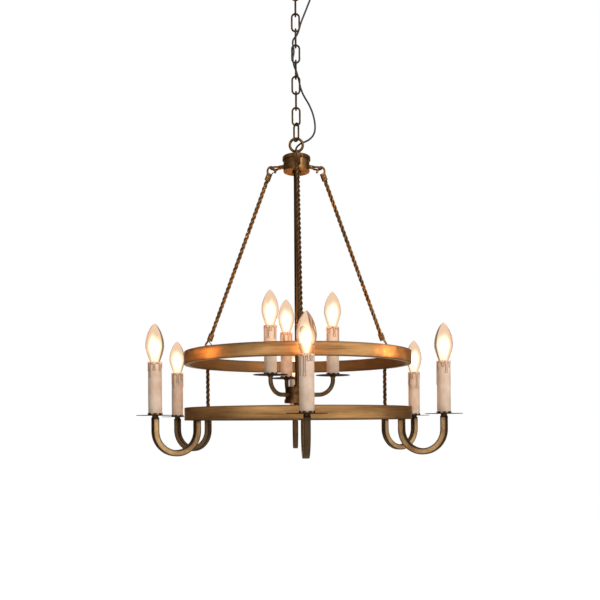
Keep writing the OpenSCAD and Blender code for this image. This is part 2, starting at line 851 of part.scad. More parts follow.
module rod_front() { rod(rod_angles[0]); }
module rod_right() { rod(rod_angles[1]); }
module rod_left() { rod(rod_angles[2]); }

// The two short stretches of wire that show at the ends of the left rod
module feed_wire() {
  color(black)
    rotate([0, 0, feed_angle])
      translate([top_pivot_r, 0, top_pivot_z])
        rotate([0, -rod_tilt, 0]) {
          swept_tube(feed_top_route, feed_d, cord_sides, false, true);
          swept_tube(feed_low_route, feed_d, cord_sides, true, false);
        }
}

// Box tube bent into a ring, standing on z = 0
module box_ring(holes_up, holes_down, up_angles, down_angles) {
  c = ring_chamfer;
  difference() {
    rotate_extrude($fn = 180)
      translate([ring_d / 2 - ring_t, 0])
        polygon([
          [c, 0], [ring_t - c, 0], [ring_t, c], [ring_t, ring_h - c],
          [ring_t - c, ring_h], [c, ring_h], [0, ring_h - c], [0, c]
        ]);
    rotate_extrude($fn = 180)
      translate([ring_d / 2 - ring_t + ring_wall, ring_wall])
        square([ring_t - 2 * ring_wall, ring_h - 2 * ring_wall]);
    if (holes_down)
      for (a = down_angles)
        rotate([0, 0, a])
          translate([ring_mid_r, 0, -1])
            cylinder(r = wire_hole_r, h = ring_wall + 2, $fn = 24);
    if (holes_up)
      for (a = up_angles)
        rotate([0, 0, a])
          translate([ring_mid_r, 0, ring_h - ring_wall - 1])
            cylinder(r = wire_hole_r, h = ring_wall + 2, $fn = 24);
  }
}

module upper_ring() {
  feed_turn = atan2(feed_hole_aside, ring_mid_r);
  color(brass)
    translate([0, 0, upper_ring_z])
      box_ring(true, true, [feed_angle + feed_turn], rod_angles);
}

module lower_ring() {
  color(brass)
    translate([0, 0, lower_ring_z])
      box_ring(true, true, rod_angles, arm_angles);
}

module ring_posts() {
  color(brass)
    for (a = rod_angles)
      rotate([0, 0, a])
        translate([ring_mid_r, 0, lower_ring_z + ring_h])
          twisted_bar(ring_gap, post_d);
}

// Eye bolts on the upper ring, each with its loop square to the rod above it
module eye_bolts() {
  color(bronze)
    for (a = rod_angles)
      rotate([0, 0, a])
        translate([ring_mid_r, 0, ring_top_z]) {
          cylinder(d = bolt_base_d, h = bolt_base_h);
          cylinder(d = bolt_wire * 1.3, h = bolt_stem + bolt_wire / 2);
          translate([0, 0, bolt_stem + bolt_loop_d / 2])
            rotate([0, 0, 90])
              wire_ring(bolt_loop_r, bolt_wire);
        }
}

// Square tube section, solid or drawn inwards by w
module arm_section(w) {
  side = arm_t - 2 * w;
  translate([-side / 2, -side / 2])
    square(side);
}

// The run of an arm, drawn inwards by w: down from the ring, round and up again
module arm_run(w, past) {
  translate([ring_mid_r, 0, arm_centre_z])
    linear_extrude(arm_inner_leg + past)
      arm_section(w);
  translate([ring_mid_r + arm_bend_r, 0, arm_centre_z])
    rotate([90, 0, 0])
      rotate([0, 0, 180])
        rotate_extrude(angle = 180)
          translate([arm_bend_r, 0])
            arm_section(w);
  translate([outer_r, 0, arm_centre_z])
    linear_extrude(arm_outer_leg + past)
      arm_section(w);
}

module outer_arms() {
  color(brass)
    for (a = arm_angles)
      rotate([0, 0, a])
        difference() {
          arm_run(0, 0);
          arm_run(arm_wall, 1);
        }
}

// Radius of the glass at height h above the sleeve's top
function glass_r(h) =
  h >= bulb_wide_h
    ? bulb_d / 2 * pow(max(0, 1 - pow((h - bulb_wide_h) / (bulb_top_h - bulb_wide_h), 2)), 0.78)
    : h >= 0
      ? lerp(bulb_d / 2, bulb_mouth_r, pow((bulb_wide_h - h) / bulb_wide_h, 1.35))
      : lerp(bulb_mouth_r, cap_d / 2, min(1, -h / cap_drop));

// Half section of the bulb, drawn inwards by w
function glass_half(w) =
  let (
    low = [for (k = [0 : glass_steps - 1]) lerp(-cap_drop, bulb_wide_h, k / glass_steps)],
    high = [for (k = [0 : glass_steps - 1]) lerp(bulb_wide_h, bulb_top_h, sin(90 * k / glass_steps))]
  )
  concat(
    [[0, -cap_drop]],
    [for (h = concat(low, high)) [max(glass_r(h) - w, 0.2), h]],
    [[0, bulb_top_h - w]]
  );

module bulb_glass_shape() {
  difference() {
    rotate_extrude()
      polygon(glass_half(0));
    translate([0, 0, -slip / 10])
      rotate_extrude()
        polygon(glass_half(glass_wall));
  }
}

// Screw cap below the glass, and the glass mount and filament inside it
module bulb_cap_shape() {
  mount_h = 16;
  wire_h = 20;
  wire_d = 0.8;
  wire_x = 4;
  translate([0, 0, -cap_drop - thread_h])
    cylinder(d = cap_d, h = thread_h);
  translate([0, 0, -cap_drop - cap_l + 1.5])
    cylinder(d1 = cone_d, d2 = cap_d, h = cap_l - thread_h - 1.5);
  translate([0, 0, -cap_drop - cap_l])
    cylinder(d = contact_d, h = 2);
  translate([0, 0, -cap_drop])
    cylinder(d1 = 7, d2 = 5, h = mount_h);
  for (side = [-1, 1])
    translate([side * wire_x / 2, 0, mount_h - cap_drop - 1])
      rotate([0, side * 6, 0])
        cylinder(d = wire_d, h = wire_h + 1, $fn = 16);
  translate([-wire_x, 0, mount_h + wire_h - cap_drop - 0.4])
    rotate([0, 90, 0])
      cylinder(d = wire_d, h = 2 * wire_x, $fn = 16);
}

// Puts its children at the top of candle k: the outer six first, then the inner three
module at_bulb(k) {
  outer_count = len(arm_angles);
  outer = k <= outer_count;
  a = outer ? arm_angles[k - 1] : inner_angles[k - 1 - outer_count];
  rotate([0, 0, a])
    translate([outer ? outer_r : inner_r, 0, (outer ? outer_seat_z : inner_seat_z) + sleeve_top])
      children();
}

module bulb_glass(k) {
  color(glass)
    at_bulb(k)
      bulb_glass_shape();
}

module bulb_cap(k) {
  color(brass)
    at_bulb(k)
      bulb_cap_shape();
}

module power_cord() {
  color(black)
    swept_tube(cord_route, cord_d, cord_sides, true, true);
}

ceiling_bracket();
canopy();
canopy_loop();
cord_grip();
chain_link(1);  // chain_link_1
chain_link(2);  // chain_link_2
chain_link(3);  // chain_link_3
chain_link(4);  // chain_link_4
chain_link(5);  // chain_link_5
chain_link(6);  // chain_link_6
chain_link(7);  // chain_link_7
chain_link(8);  // chain_link_8
chain_link(9);  // chain_link_9
chain_link(10);  // chain_link_10
hub_ring();
hub_eye();
hub_lid();
hub_shell();
hub_side_loops();
hub_connector();
stem();
cluster_body();
cluster_base();
inner_arms();
inner_pans();
inner_cups();
inner_sockets();
inner_sleeves();
rod_front();
rod_right();
rod_left();
feed_wire();
upper_ring();
lower_ring();
ring_posts();
eye_bolts();
outer_arms();
outer_pans();
outer_cups();
outer_sockets();
outer_sleeves();
bulb_glass(1);  // bulb_glass_1
bulb_glass(2);  // bulb_glass_2
bulb_glass(3);  // bulb_glass_3
bulb_glass(4);  // bulb_glass_4
bulb_glass(5);  // bulb_glass_5
bulb_glass(6);  // bulb_glass_6
bulb_glass(7);  // bulb_glass_7
bulb_glass(8);  // bulb_glass_8
bulb_glass(9);  // bulb_glass_9
bulb_cap(1);  // bulb_cap_1
bulb_cap(2);  // bulb_cap_2
bulb_cap(3);  // bulb_cap_3
bulb_cap(4);  // bulb_cap_4
bulb_cap(5);  // bulb_cap_5
bulb_cap(6);  // bulb_cap_6
bulb_cap(7);  // bulb_cap_7
bulb_cap(8);  // bulb_cap_8
bulb_cap(9);  // bulb_cap_9
power_cord();
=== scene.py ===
"""Wagon wheel chandelier: two brass rings on twisted rods, nine candle lamps, a chain and its cord."""

import math

import bmesh
import bpy
import numpy as np
from mathutils import Matrix, Vector


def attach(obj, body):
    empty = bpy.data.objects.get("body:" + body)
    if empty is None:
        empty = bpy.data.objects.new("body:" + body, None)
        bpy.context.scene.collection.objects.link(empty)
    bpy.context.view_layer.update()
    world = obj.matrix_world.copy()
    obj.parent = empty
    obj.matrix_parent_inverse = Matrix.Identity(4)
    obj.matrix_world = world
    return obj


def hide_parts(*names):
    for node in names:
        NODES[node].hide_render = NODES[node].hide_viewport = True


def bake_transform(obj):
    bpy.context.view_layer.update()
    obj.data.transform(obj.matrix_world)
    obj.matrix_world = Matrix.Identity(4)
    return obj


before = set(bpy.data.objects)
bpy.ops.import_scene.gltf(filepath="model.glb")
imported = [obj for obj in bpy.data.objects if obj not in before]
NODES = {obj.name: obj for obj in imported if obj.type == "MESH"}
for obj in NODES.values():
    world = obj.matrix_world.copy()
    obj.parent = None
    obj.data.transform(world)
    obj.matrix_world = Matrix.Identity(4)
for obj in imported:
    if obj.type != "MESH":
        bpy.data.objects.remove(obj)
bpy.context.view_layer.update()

MM = 0.001
SAME_POINT = 2e-7  # metres within which two points of a mesh are one

# Sizes in millimetres, as in the part's source
TOP_PIVOT_R, TOP_PIVOT_Z = 61.0, -433.5
ROD_LENGTH, ROD_D, LAY = 404.0, 9.0, 34.0
RING_R, RING_H, RING_T = 235.0, 26.0, 12.0
RING_MID_R = RING_R - RING_T / 2
ROD_RUN = RING_MID_R - TOP_PIVOT_R
ROD_FALL = math.sqrt(ROD_LENGTH**2 - ROD_RUN**2)
ROD_TILT = math.atan2(ROD_RUN, ROD_FALL)
LOW_PIVOT_Z = TOP_PIVOT_Z - ROD_FALL
BOLT_WIRE, BOLT_LOOP_D, BOLT_STEM = 3.5, 20.0, 8.7
RING_TOP = LOW_PIVOT_Z + BOLT_WIRE / 2 - BOLT_LOOP_D - BOLT_STEM
RINGS_GAP, POST_D = 88.0, 8.5
UPPER_RING_Z = RING_TOP - RING_H
LOWER_RING_Z = UPPER_RING_Z - RINGS_GAP - RING_H
ARM_DROP, ARM_BEND, ARM_SIDE, ARM_RISE = 20.0, 42.5, 12.0, 25.5
ARM_CENTRE_Z = LOWER_RING_Z - ARM_DROP
OUTER_R, INNER_R = 314.0, 75.5
OUTER_SEAT_Z = ARM_CENTRE_Z + ARM_RISE
INNER_SEAT_Z = -880.5
SLEEVE_FOOT, SLEEVE_H, SLEEVE_R, SLEEVE_WALL = 5.4, 98.0, 13.0, 1.6
ROD_ANGLES = {"rod_front": -90.0, "rod_right": 30.0, "rod_left": 150.0}
OUTER_ANGLES = (-88.8, -30.0, 30.0, 90.0, 150.0, 210.0)
INNER_ANGLES = (107.5, 221.4, 341.4)


# ---------------------------------------------------------------- camera

def set_camera():
    """A level camera 1.58 m from the axis, 61 mm above the arms' lowest point, rolled by 0.39 degrees.

    Its lens and shifts come from the photograph: both rings' ellipses, the sleeves and the plumb stem.
    """
    distance, height = 1.582, -0.975
    azimuth, roll = math.radians(-91.5), math.radians(-0.39)
    data = bpy.data.cameras.new("camera")
    data.sensor_width = 36
    data.lens = 45.41
    data.shift_x = 0.003
    data.shift_y = 0.2055
    camera = bpy.data.objects.new("camera", data)
    bpy.context.scene.collection.objects.link(camera)
    place = Vector((distance * math.cos(azimuth), distance * math.sin(azimuth), height))
    look = Vector((-place.x, -place.y, 0)).to_track_quat("-Z", "Y").to_matrix().to_4x4()
    camera.matrix_world = Matrix.Translation(place) @ look @ Matrix.Rotation(roll, 4, "Z")
    bpy.context.scene.camera = camera


set_camera()


# ---------------------------------------------------------------- mesh tools

def grid_faces(rows, columns, wrap_rows, wrap_columns):
    """Quads between neighbouring points of a rows by columns grid, joined round where it wraps."""
    i, j = np.meshgrid(
        np.arange(rows if wrap_rows else rows - 1),
        np.arange(columns if wrap_columns else columns - 1),
        indexing="ij",
    )
    k, m = (i + 1) % rows, (j + 1) % columns
    quads = np.stack([i * columns + j, k * columns + j, k * columns + m, i * columns + m], -1)
    return quads.reshape(-1, 4)


def surface(points, wrap_rows=False, wrap_columns=False, **values):
    """A part: a grid of points (rows, columns, 3) in millimetres, and values at its points."""
    rows, columns = points.shape[:2]
    spread = {k: np.broadcast_to(v, (rows, columns)).reshape(-1) for k, v in values.items()}
    return points.reshape(-1, 3), grid_faces(rows, columns, wrap_rows, wrap_columns), spread


def lathe(profile, centre=(0, 0), turns=64, **values):
    """A surface of revolution about a plumb line: (cx + r cos a, cy + r sin a, z) for each (r, z)."""
    profile = np.asarray(profile, float)
    a = np.linspace(0, 2 * np.pi, turns, endpoint=False)[:, None]
    r, z = profile[None, :, 0], profile[None, :, 1]
    points = np.stack([centre[0] + r * np.cos(a), centre[1] + r * np.sin(a), z + 0 * a], -1)
    return surface(points, wrap_rows=True, **values)


def carried(path, hint):
    """Frames along a path: its direction t, and two axes square to it, turned as little as can be."""
    path = np.asarray(path, float)
    t = np.gradient(path, axis=0)
    t /= np.linalg.norm(t, axis=1, keepdims=True)
    u = np.zeros_like(t)
    axis = np.asarray(hint, float)
    for i, d in enumerate(t):
        axis = axis - d * (axis @ d)
        axis /= np.linalg.norm(axis)
        u[i] = axis
    return t, u, np.cross(t, u)


def skin(path, section, u, v):
    """Points of a section (a, b) along a path: path + a u + b v, with its two ends drawn to their middles."""
    points = path[:, None] + section[..., :1] * u[:, None] + section[..., 1:] * v[:, None]
    ends = [np.broadcast_to(path[i], points[i].shape)[None] for i in (0, -1)]
    return np.concatenate([ends[0], points, ends[1]])


def sweep(path, section, hint=(0, 1, 0), **values):
    """A part: a section, or one for each point, carried along a path, its first axis towards hint."""
    path, section = np.asarray(path, float), np.asarray(section, float)
    _, u, v = carried(path, hint)
    if section.ndim == 2:
        section = np.broadcast_to(section, (len(path),) + section.shape)
    values = {k: x if len(x) == 1 else np.concatenate([x[:1], x, x[-1:]]) for k, x in values.items()}
    return surface(skin(path, section, u, v), wrap_columns=True, **values)


def ring_of(radius, sides):
    """Points of a circle, as a section for sweep."""
    a = np.linspace(0, 2 * np.pi, sides, endpoint=False)
    return radius * np.stack([np.cos(a), np.sin(a)], -1)


def moved(part, matrix):
    """A part turned and shifted by a 4 by 4 matrix in millimetres."""
    points, faces, values = part
    m = np.array(matrix)
    return points @ m[:3, :3].T + m[:3, 3], faces, values


def turned(part, degrees):
    """A part turned about the plumb axis."""
    return moved(part, Matrix.Rotation(math.radians(degrees), 4, "Z"))


def make_piece(name, parts, material, body=None, replaces=()):
    """One object from its parts: doubles merged, faces turned outwards, millimetres made metres."""
    start, points, faces, values = 0, [], [], {}
    names = sorted({k for part in parts for k in part[2]})
    for p, f, v in parts:
        points.append(p)
        faces.extend((f + start).tolist())
        for k in names:
            values.setdefault(k, []).append(v.get(k, np.zeros(len(p))))
        start += len(p)
    mesh = bpy.data.meshes.new(name)
    mesh.from_pydata((np.concatenate(points) * MM).tolist(), [], faces)
    for k in names:
        layer = mesh.attributes.new(k, "FLOAT", "POINT")
        layer.data.foreach_set("value", np.concatenate(values[k]).astype(np.float32))
    work = bmesh.new()
    work.from_mesh(mesh)
    bmesh.ops.remove_doubles(work, verts=work.verts, dist=SAME_POINT)
    bmesh.ops.recalc_face_normals(work, faces=work.faces)
    for face in work.faces:
        face.smooth = True
    work.to_mesh(mesh)
    work.free()
    mesh.materials.append(material)
    piece = bpy.data.objects.new(name, mesh)
    bpy.context.scene.collection.objects.link(piece)
    if replaces:
        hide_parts(*replaces)
    if body:
        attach(piece, body)
    return piece


# ---------------------------------------------------------------- shader tools

def srgb(r, g, b):
    """A screen colour from 0 to 255 as the linear colour that a socket takes."""
    line = [c / 255 / 12.92 if c <= 10 else ((c / 255 + 0.055) / 1.055) ** 2.4 for c in (r, g, b)]
    return (*line, 1.0)


class Tree:
    """Short ways to add nodes and links to one node tree."""

    def __init__(self, tree):
        self.tree = tree
        self.nodes = tree.nodes

    def feed(self, socket, value):
        """Links another node's socket to this one, or writes a plain value on it."""
        if isinstance(value, bpy.types.NodeSocket):
            self.tree.links.new(value, socket)
        else:
            socket.default_value = value

    def add(self, kind, inputs=None, **settings):
        node = self.nodes.new("ShaderNode" + kind)
        for key, value in settings.items():
            setattr(node, key, value)
        for key, value in (inputs or {}).items():
            self.feed(node.inputs[key], value)
        return node

    def math(self, operation, *values, clamp=False):
        return self.add("Math", dict(enumerate(values)), operation=operation, use_clamp=clamp).outputs[0]

    def mix(self, amount, a, b):
        node = self.nodes.new("ShaderNodeMix")
        node.data_type = "RGBA"
        # Sockets 6 and 7 and output 2 are the node's colours; 0 is the amount
        for index, value in ((0, amount), (6, a), (7, b)):
            self.feed(node.inputs[index], value)
        return node.outputs[2]

    def span(self, value, low, high, to_low=0.0, to_high=1.0):
        """The value from low..high carried to to_low..to_high, and held there."""
        inputs = {"Value": value, "From Min": low, "From Max": high, "To Min": to_low, "To Max": to_high}
        return self.add("MapRange", inputs).outputs[0]

    def noise(self, place, scale, detail=3.0, roughness=0.55):
        inputs = {"Vector": place, "Scale": scale, "Detail": detail, "Roughness": roughness}
        return self.add("TexNoise", inputs).outputs[0]

    def stretch(self, place, factors):
        return self.add("VectorMath", {0: place, 1: factors}, operation="MULTIPLY").outputs[0]

    def attribute(self, name):
        return self.add("Attribute", attribute_name=name).outputs["Fac"]

    def place(self):
        return self.add("TexCoord").outputs["Object"]

    def seen(self):
        """1 for rays that show in the picture: straight, mirrored or through glass."""
        rays = self.add("LightPath").outputs
        direct = self.math("MAXIMUM", rays["Is Camera Ray"], rays["Is Glossy Ray"])
        return self.math("MAXIMUM", direct, rays["Is Transmission Ray"])


def node_group(name, inputs, outputs, build):
    """A shader group with named inputs (name, kind, value) and outputs (name, kind)."""
    group = bpy.data.node_groups.new(name, "ShaderNodeTree")
    for label, kind, value in inputs:
        item = group.interface.new_socket(label, in_out="INPUT", socket_type="NodeSocket" + kind)
        item.default_value = value
    for label, kind in outputs:
        group.interface.new_socket(label, in_out="OUTPUT", socket_type="NodeSocket" + kind)
    tree = Tree(group)
    source = group.nodes.new("NodeGroupInput")
    sink = group.nodes.new("NodeGroupOutput")
    for label, socket in build(tree, source.outputs).items():
        group.links.new(socket, sink.inputs[label])
    return group


def material(name, build, **plain):
    """A material with one Principled shader: plain numbers on its sockets, and what build gives."""
    made = bpy.data.materials.new(name)
    made.use_nodes = True
    made.node_tree.nodes.clear()
    tree = Tree(made.node_tree)
    shader = tree.add("BsdfPrincipled", {k.replace("_", " "): v for k, v in plain.items()})
    links, bump = build(tree)
    for label, value in links.items():
        tree.feed(shader.inputs[label], value)
    if bump:
        height, distance = bump
        node = tree.add("Bump", {"Height": height, "Strength": 1.0, "Distance": distance})
        made.node_tree.links.new(node.outputs[0], shader.inputs["Normal"])
    output = tree.add("OutputMaterial")
    made.node_tree.links.new(shader.outputs[0], output.inputs[0])
    return made


def place_group(tree, group, **inputs):
    """A group node in a material, with its own values."""
    node = tree.nodes.new("ShaderNodeGroup")
    node.node_tree = group
    for key, value in inputs.items():
        tree.feed(node.inputs[key.replace("_", " ")], value)
    return node.outputs


# ---------------------------------------------------------------- finishes

def build_patina(tree, given):
    """Aged metal: broad clouds between two colours, fine streaks over them, and masked faces and edges pulled
    darker, which on the rings and arms is painted shade.
    """
    place = tree.place()
    broad = tree.noise(tree.stretch(place, given["Clouds"]), 1.0, 4.0, 0.6)
    fine = tree.noise(tree.stretch(place, given["Streaks"]), 1.0, 2.0, 0.6)
    cloud = tree.span(broad, 0.36, 0.64)
    streak = tree.span(fine, 0.3, 0.7)
    amount = tree.math("MULTIPLY_ADD", tree.math("SUBTRACT", streak, cloud), given["Streak Share"], cloud)
    # Painted shade on the rings and arms: the face mask pulls faces to the dark colour and leaves them
    # rougher.
    amount = tree.math("MULTIPLY", amount, tree.math("SUBTRACT", 1.0, given["Dull And Shade"]))
    colour = tree.mix(amount, given["Dark"], given["Bright"])
    # The edge colour is painted shade on the rings' and arms' corners, and darkens the twists' grooves.
    colour = tree.mix(given["Edge"], colour, given["Edge Colour"])
    rough = tree.math("MULTIPLY_ADD", amount, -0.16, given["Roughness"])
    rough = tree.math("MULTIPLY_ADD", given["Edge"], 0.12, rough)
    metal = tree.math("MULTIPLY_ADD", given["Edge"], -0.35, given["Metal Share"])
    return {"Colour": colour, "Rough": rough, "Metal": metal, "Grain": fine}


PATINA = node_group(
    "patina",
    [
        ("Bright", "Color", srgb(190, 150, 98)),
        ("Dark", "Color", srgb(120, 88, 52)),
        ("Edge Colour", "Color", srgb(52, 36, 22)),
        ("Edge", "Float", 0.0),
        ("Dull And Shade", "Float", 0.0),
        ("Streak Share", "Float", 0.28),
        ("Metal Share", "Float", 0.88),
        ("Roughness", "Float", 0.5),
        ("Clouds", "Vector", (30, 30, 30)),
        ("Streaks", "Vector", (300, 300, 300)),
    ],
    [("Colour", "Color"), ("Rough", "Float"), ("Metal", "Float"), ("Grain", "Float")],
    build_patina,
)


WHITE, BLACK = (1.0, 1.0, 1.0, 1.0), (0.0, 0.0, 0.0, 1.0)
BULB_GLOW_DARK_SHARE = 0.62  # how dark the dark clouds are in the painted glow from the bulbs on faces that look down
METAL_BUMP, WAX_BUMP, JACKET_BUMP, PLASTIC_BUMP = 0.00008, 0.00005, 0.00003, 0.00004  # metres


def metal(
    name, bright, dark, clouds, streaks, edge=None, dull=None, edge_colour=(52, 36, 22), share=0.28,
    roughness=0.5, bulb_glow_under=None, body=0.88, rim=(0.62, 0.5, 0.38, 1.0),
):
    """Aged metal from the patina group, between two screen colours.

    clouds and streaks are how often the noise repeats along each axis, and share is the streaks' part.
    edge names the attribute that darkens corners and, in the twists, grooves, and the next one the attribute
    that darkens whole faces and leaves them rougher; on the rings and arms both are painted shade. The colour
    for faces that look down is the bright tone of a painted glow from the bulbs below, body the share of bare
    metal, and rim its tint at a low angle.
    """

    def build(tree):
        given = dict(
            Bright=srgb(*bright), Dark=srgb(*dark), Edge_Colour=srgb(*edge_colour),
            Clouds=clouds, Streaks=streaks, Streak_Share=share, Metal_Share=body, Roughness=roughness,
        )
        if edge:
            given["Edge"] = tree.attribute(edge)
        if dull:
            given["Dull And Shade"] = tree.attribute(dull)
        # Painted light: faces that look down are tinted copper for the bulbs' glow from below.
        if bulb_glow_under:
            normal = tree.add("NewGeometry").outputs["Normal"]
            down = tree.span(tree.add("SeparateXYZ", {0: normal}).outputs[2], -0.5, -0.9)
            given["Bright"] = tree.mix(down, given["Bright"], srgb(*bulb_glow_under))
            given["Dark"] = tree.mix(down, given["Dark"], srgb(*[BULB_GLOW_DARK_SHARE * c for c in bulb_glow_under]))
        out = place_group(tree, PATINA, **given)
        links = {"Base Color": out["Colour"], "Roughness": out["Rough"], "Metallic": out["Metal"]}
        return links, (out["Grain"], METAL_BUMP)

    return material(name, build, Specular_Tint=rim)


RING_BRASS = metal(
    "brushed_ring_brass", (212, 164, 106), (102, 70, 36), (5, 5, 34), (10, 10, 2400), "edge", "dull",
    share=0.42, roughness=0.54, body=0.7, rim=(0.85, 0.72, 0.58, 1.0),
)
ARM_BRASS = metal(
    "brushed_arm_brass", (208, 170, 122), (128, 96, 60), (22, 22, 16), (420, 420, 90), "edge", "dull",
    edge_colour=(36, 23, 12),
)
# The stem's brass is darkened with painted shade, for the dark that it mirrors.
SHADED_STEM_BRASS = metal(
    "drawn_stem_painted_shade", (90, 62, 36), (42, 28, 16), (40, 40, 10), (700, 700, 30), roughness=0.42,
)
INNER_BRASS = metal(
    "drawn_brass", (120, 94, 62), (60, 44, 28), (40, 40, 40), (300, 300, 300), roughness=0.44,
)
TWIST_BRASS = metal(
    "twisted_brass", (168, 120, 68), (94, 64, 36), (60, 60, 60), (400, 400, 400), "groove",
    edge_colour=(48, 31, 17), roughness=0.44,
)
# A copy of twisted_brass darkened with painted shade, for the front rod and the posts.
SHADED_TWIST = metal(
    "twisted_brass_painted_shade", (112, 78, 44), (56, 38, 22), (60, 60, 60), (400, 400, 400), "groove",
    edge_colour=(34, 22, 12), roughness=0.44,
)
# Hub bronze, with a painted copper glow from the bulbs on its undersides.
BRONZE = metal(
    "mottled_bronze", (124, 90, 52), (54, 38, 22), (70, 70, 70), (260, 260, 260), share=0.2,
    roughness=0.46, bulb_glow_under=(178, 106, 48),
)
DARK_BRONZE = metal("dark_bronze", (84, 62, 40), (34, 23, 14), (90, 90, 90), (800, 800, 800))
PAN_BRONZE = metal(
    "pan_bronze", (66, 49, 33), (34, 24, 15), (90, 90, 90), (800, 800, 800), roughness=0.66,
    rim=(0.22, 0.18, 0.14, 1.0),
)
ZINC = metal(
    "zinc_sheet", (205, 207, 210), (160, 163, 168), (60, 60, 60), (900, 900, 900), roughness=0.42,
    rim=WHITE,
)
NICKEL = metal(
    "nickel_cap", (214, 208, 198), (168, 162, 152), (200, 200, 200), (900, 900, 900), roughness=0.35,
    rim=WHITE,
)


def build_drip(tree):
    """Ivory sleeve: faint clouds, fine grain, brown along the drips' outlines, and a painted warm glow at its
    top for the lamp's light through the wall.
    """
    place = tree.place()
    cloud = tree.span(tree.noise(place, 45.0, 4.0), 0.35, 0.65)
    speck = tree.noise(place, 1400.0, 2.0)
    ivory = tree.mix(cloud, srgb(214, 184, 158), srgb(232, 208, 186))
    worn = tree.math("MULTIPLY", tree.attribute("antique"), tree.span(speck, 0.25, 0.6, 0.75, 1.0))
    colour = tree.mix(worn, ivory, srgb(90, 54, 28))
    rough = tree.math("MULTIPLY_ADD", cloud, 0.08, 0.5)
    # Painted light: a warm emitted glow near the top, fading down the wall, and none where the wax is brown.
    warm = tree.mix(tree.attribute("warm"), BLACK, (1.0, 0.4, 0.16, 1.0))
    warm = tree.mix(worn, warm, BLACK)
    return {"Base Color": colour, "Roughness": rough, "Emission Color": warm}, (speck, WAX_BUMP)


DRIP_IVORY = material("drip_ivory", build_drip, Specular_IOR_Level=0.4, Emission_Strength=0.3)


def build_jacket(tree):
    """Black cord jacket: a faint long grain and a slightly uneven gloss."""
    place = tree.place()
    grain = tree.noise(place, 900.0, 2.0)
    tone = tree.mix(tree.noise(place, 70.0), srgb(24, 22, 21), srgb(44, 41, 38))
    return {"Base Color": tone, "Roughness": tree.span(grain, 0.3, 0.7, 0.35, 0.5)}, (grain, JACKET_BUMP)


NUT_MIDDLE, NUT_HALF = 1.2, 2.6  # millimetres: heights of the nuts, from the seat of each pan


def build_moulded(tree):
    """Moulded pale plastic with a fine orange peel, and dark bronze at the heights of the pans' nuts."""
    place = tree.place()
    tone = tree.mix(tree.noise(place, 60.0), srgb(224, 222, 214), srgb(238, 236, 229))
    peel = tree.noise(place, 1100.0, 1.0)
    height = tree.add("SeparateXYZ", {0: place}).outputs[2]
    nut = 0.0
    for seat in (OUTER_SEAT_Z, INNER_SEAT_Z):
        off = tree.math("ABSOLUTE", tree.math("SUBTRACT", height, (seat + NUT_MIDDLE) * MM))
        nut = tree.math("ADD", nut, tree.math("LESS_THAN", off, NUT_HALF * MM))
    cloud = tree.span(tree.noise(place, 160.0), 0.35, 0.65)
    bronze = tree.mix(cloud, srgb(46, 33, 22), srgb(98, 70, 42))
    rough = tree.math("MULTIPLY_ADD", nut, 0.1, tree.span(peel, 0.3, 0.7, 0.3, 0.42))
    links = {
        "Base Color": tree.mix(nut, tone, bronze),
        "Roughness": rough,
        "Metallic": tree.math("MULTIPLY", nut, 0.85),
    }
    return links, (peel, PLASTIC_BUMP)


JACKET = material("black_jacket", build_jacket)
MOULDED = material("moulded_plastic", build_moulded)


def glass_glow(tree):
    """Glow of the hot wire in the glass: by the glow attribute, strongest where the glass faces the eye."""
    facing = tree.add("LayerWeight", {"Blend": 0.5}).outputs["Facing"]
    core = tree.math("POWER", tree.math("SUBTRACT", 1.0, facing, clamp=True), 7.5)
    amount = tree.math("MULTIPLY_ADD", tree.attribute("glow"), core, 0.04)
    return {"Emission Color": tree.mix(amount, BLACK, (1.0, 0.7, 0.46, 1.0))}, None


def lit_glass():
    """Clear bulb glass: a hot core, peach towards its rim, and open to the filament's light.

    Shadow, diffuse and mirrored rays pass it unbent. Camera rays, also those through other glass, see it.
    """
    made = material(
        "bulb_glass", glass_glow, Base_Color=(0.82, 0.7, 0.59, 1.0), Roughness=0.02, IOR=1.04,
        Transmission_Weight=1.0, Emission_Strength=1.5,
    )
    tree = Tree(made.node_tree)
    links = made.node_tree.links
    clear = next(n for n in tree.nodes if n.type == "BSDF_PRINCIPLED")
    output = next(n for n in tree.nodes if n.type == "OUTPUT_MATERIAL")
    rim = tree.add("BsdfPrincipled", {"Base Color": srgb(150, 108, 88), "Roughness": 0.2, "Alpha": 0.75})
    facing = tree.add("LayerWeight", {"Blend": 0.5}).outputs["Facing"]
    amount = tree.span(facing, 0.55, 1.0, 0.0, 0.7)
    edge = tree.add("MixShader", {0: amount, 1: clear.outputs[0], 2: rim.outputs[0]})
    passing = tree.add("BsdfTransparent")
    rays = tree.add("LightPath").outputs
    lighting = tree.math("MAXIMUM", rays["Is Shadow Ray"], rays["Is Diffuse Ray"])
    mirrored = tree.math("SUBTRACT", rays["Is Glossy Ray"], rays["Is Transmission Ray"], clamp=True)
    lighting = tree.math("MAXIMUM", lighting, mirrored)
    whole = tree.add("MixShader", {0: lighting, 1: edge.outputs[0], 2: passing.outputs[0]})
    links.new(whole.outputs[0], output.inputs[0])
    return made


BULB_GLASS = lit_glass()


def build_filament(tree):
    """Glowing wire: warm white, hotter in the middle of its coil."""
    heat = tree.attribute("heat")
    colour = tree.mix(heat, (1.0, 0.42, 0.14, 1.0), (1.0, 0.58, 0.28, 1.0))
    return {"Base Color": (1.0, 0.7, 0.4, 1.0), "Emission Color": colour}, None


FILAMENT = material("glowing_wire", build_filament, Emission_Strength=500.0, Roughness=0.5)


# ---------------------------------------------------------------- cord

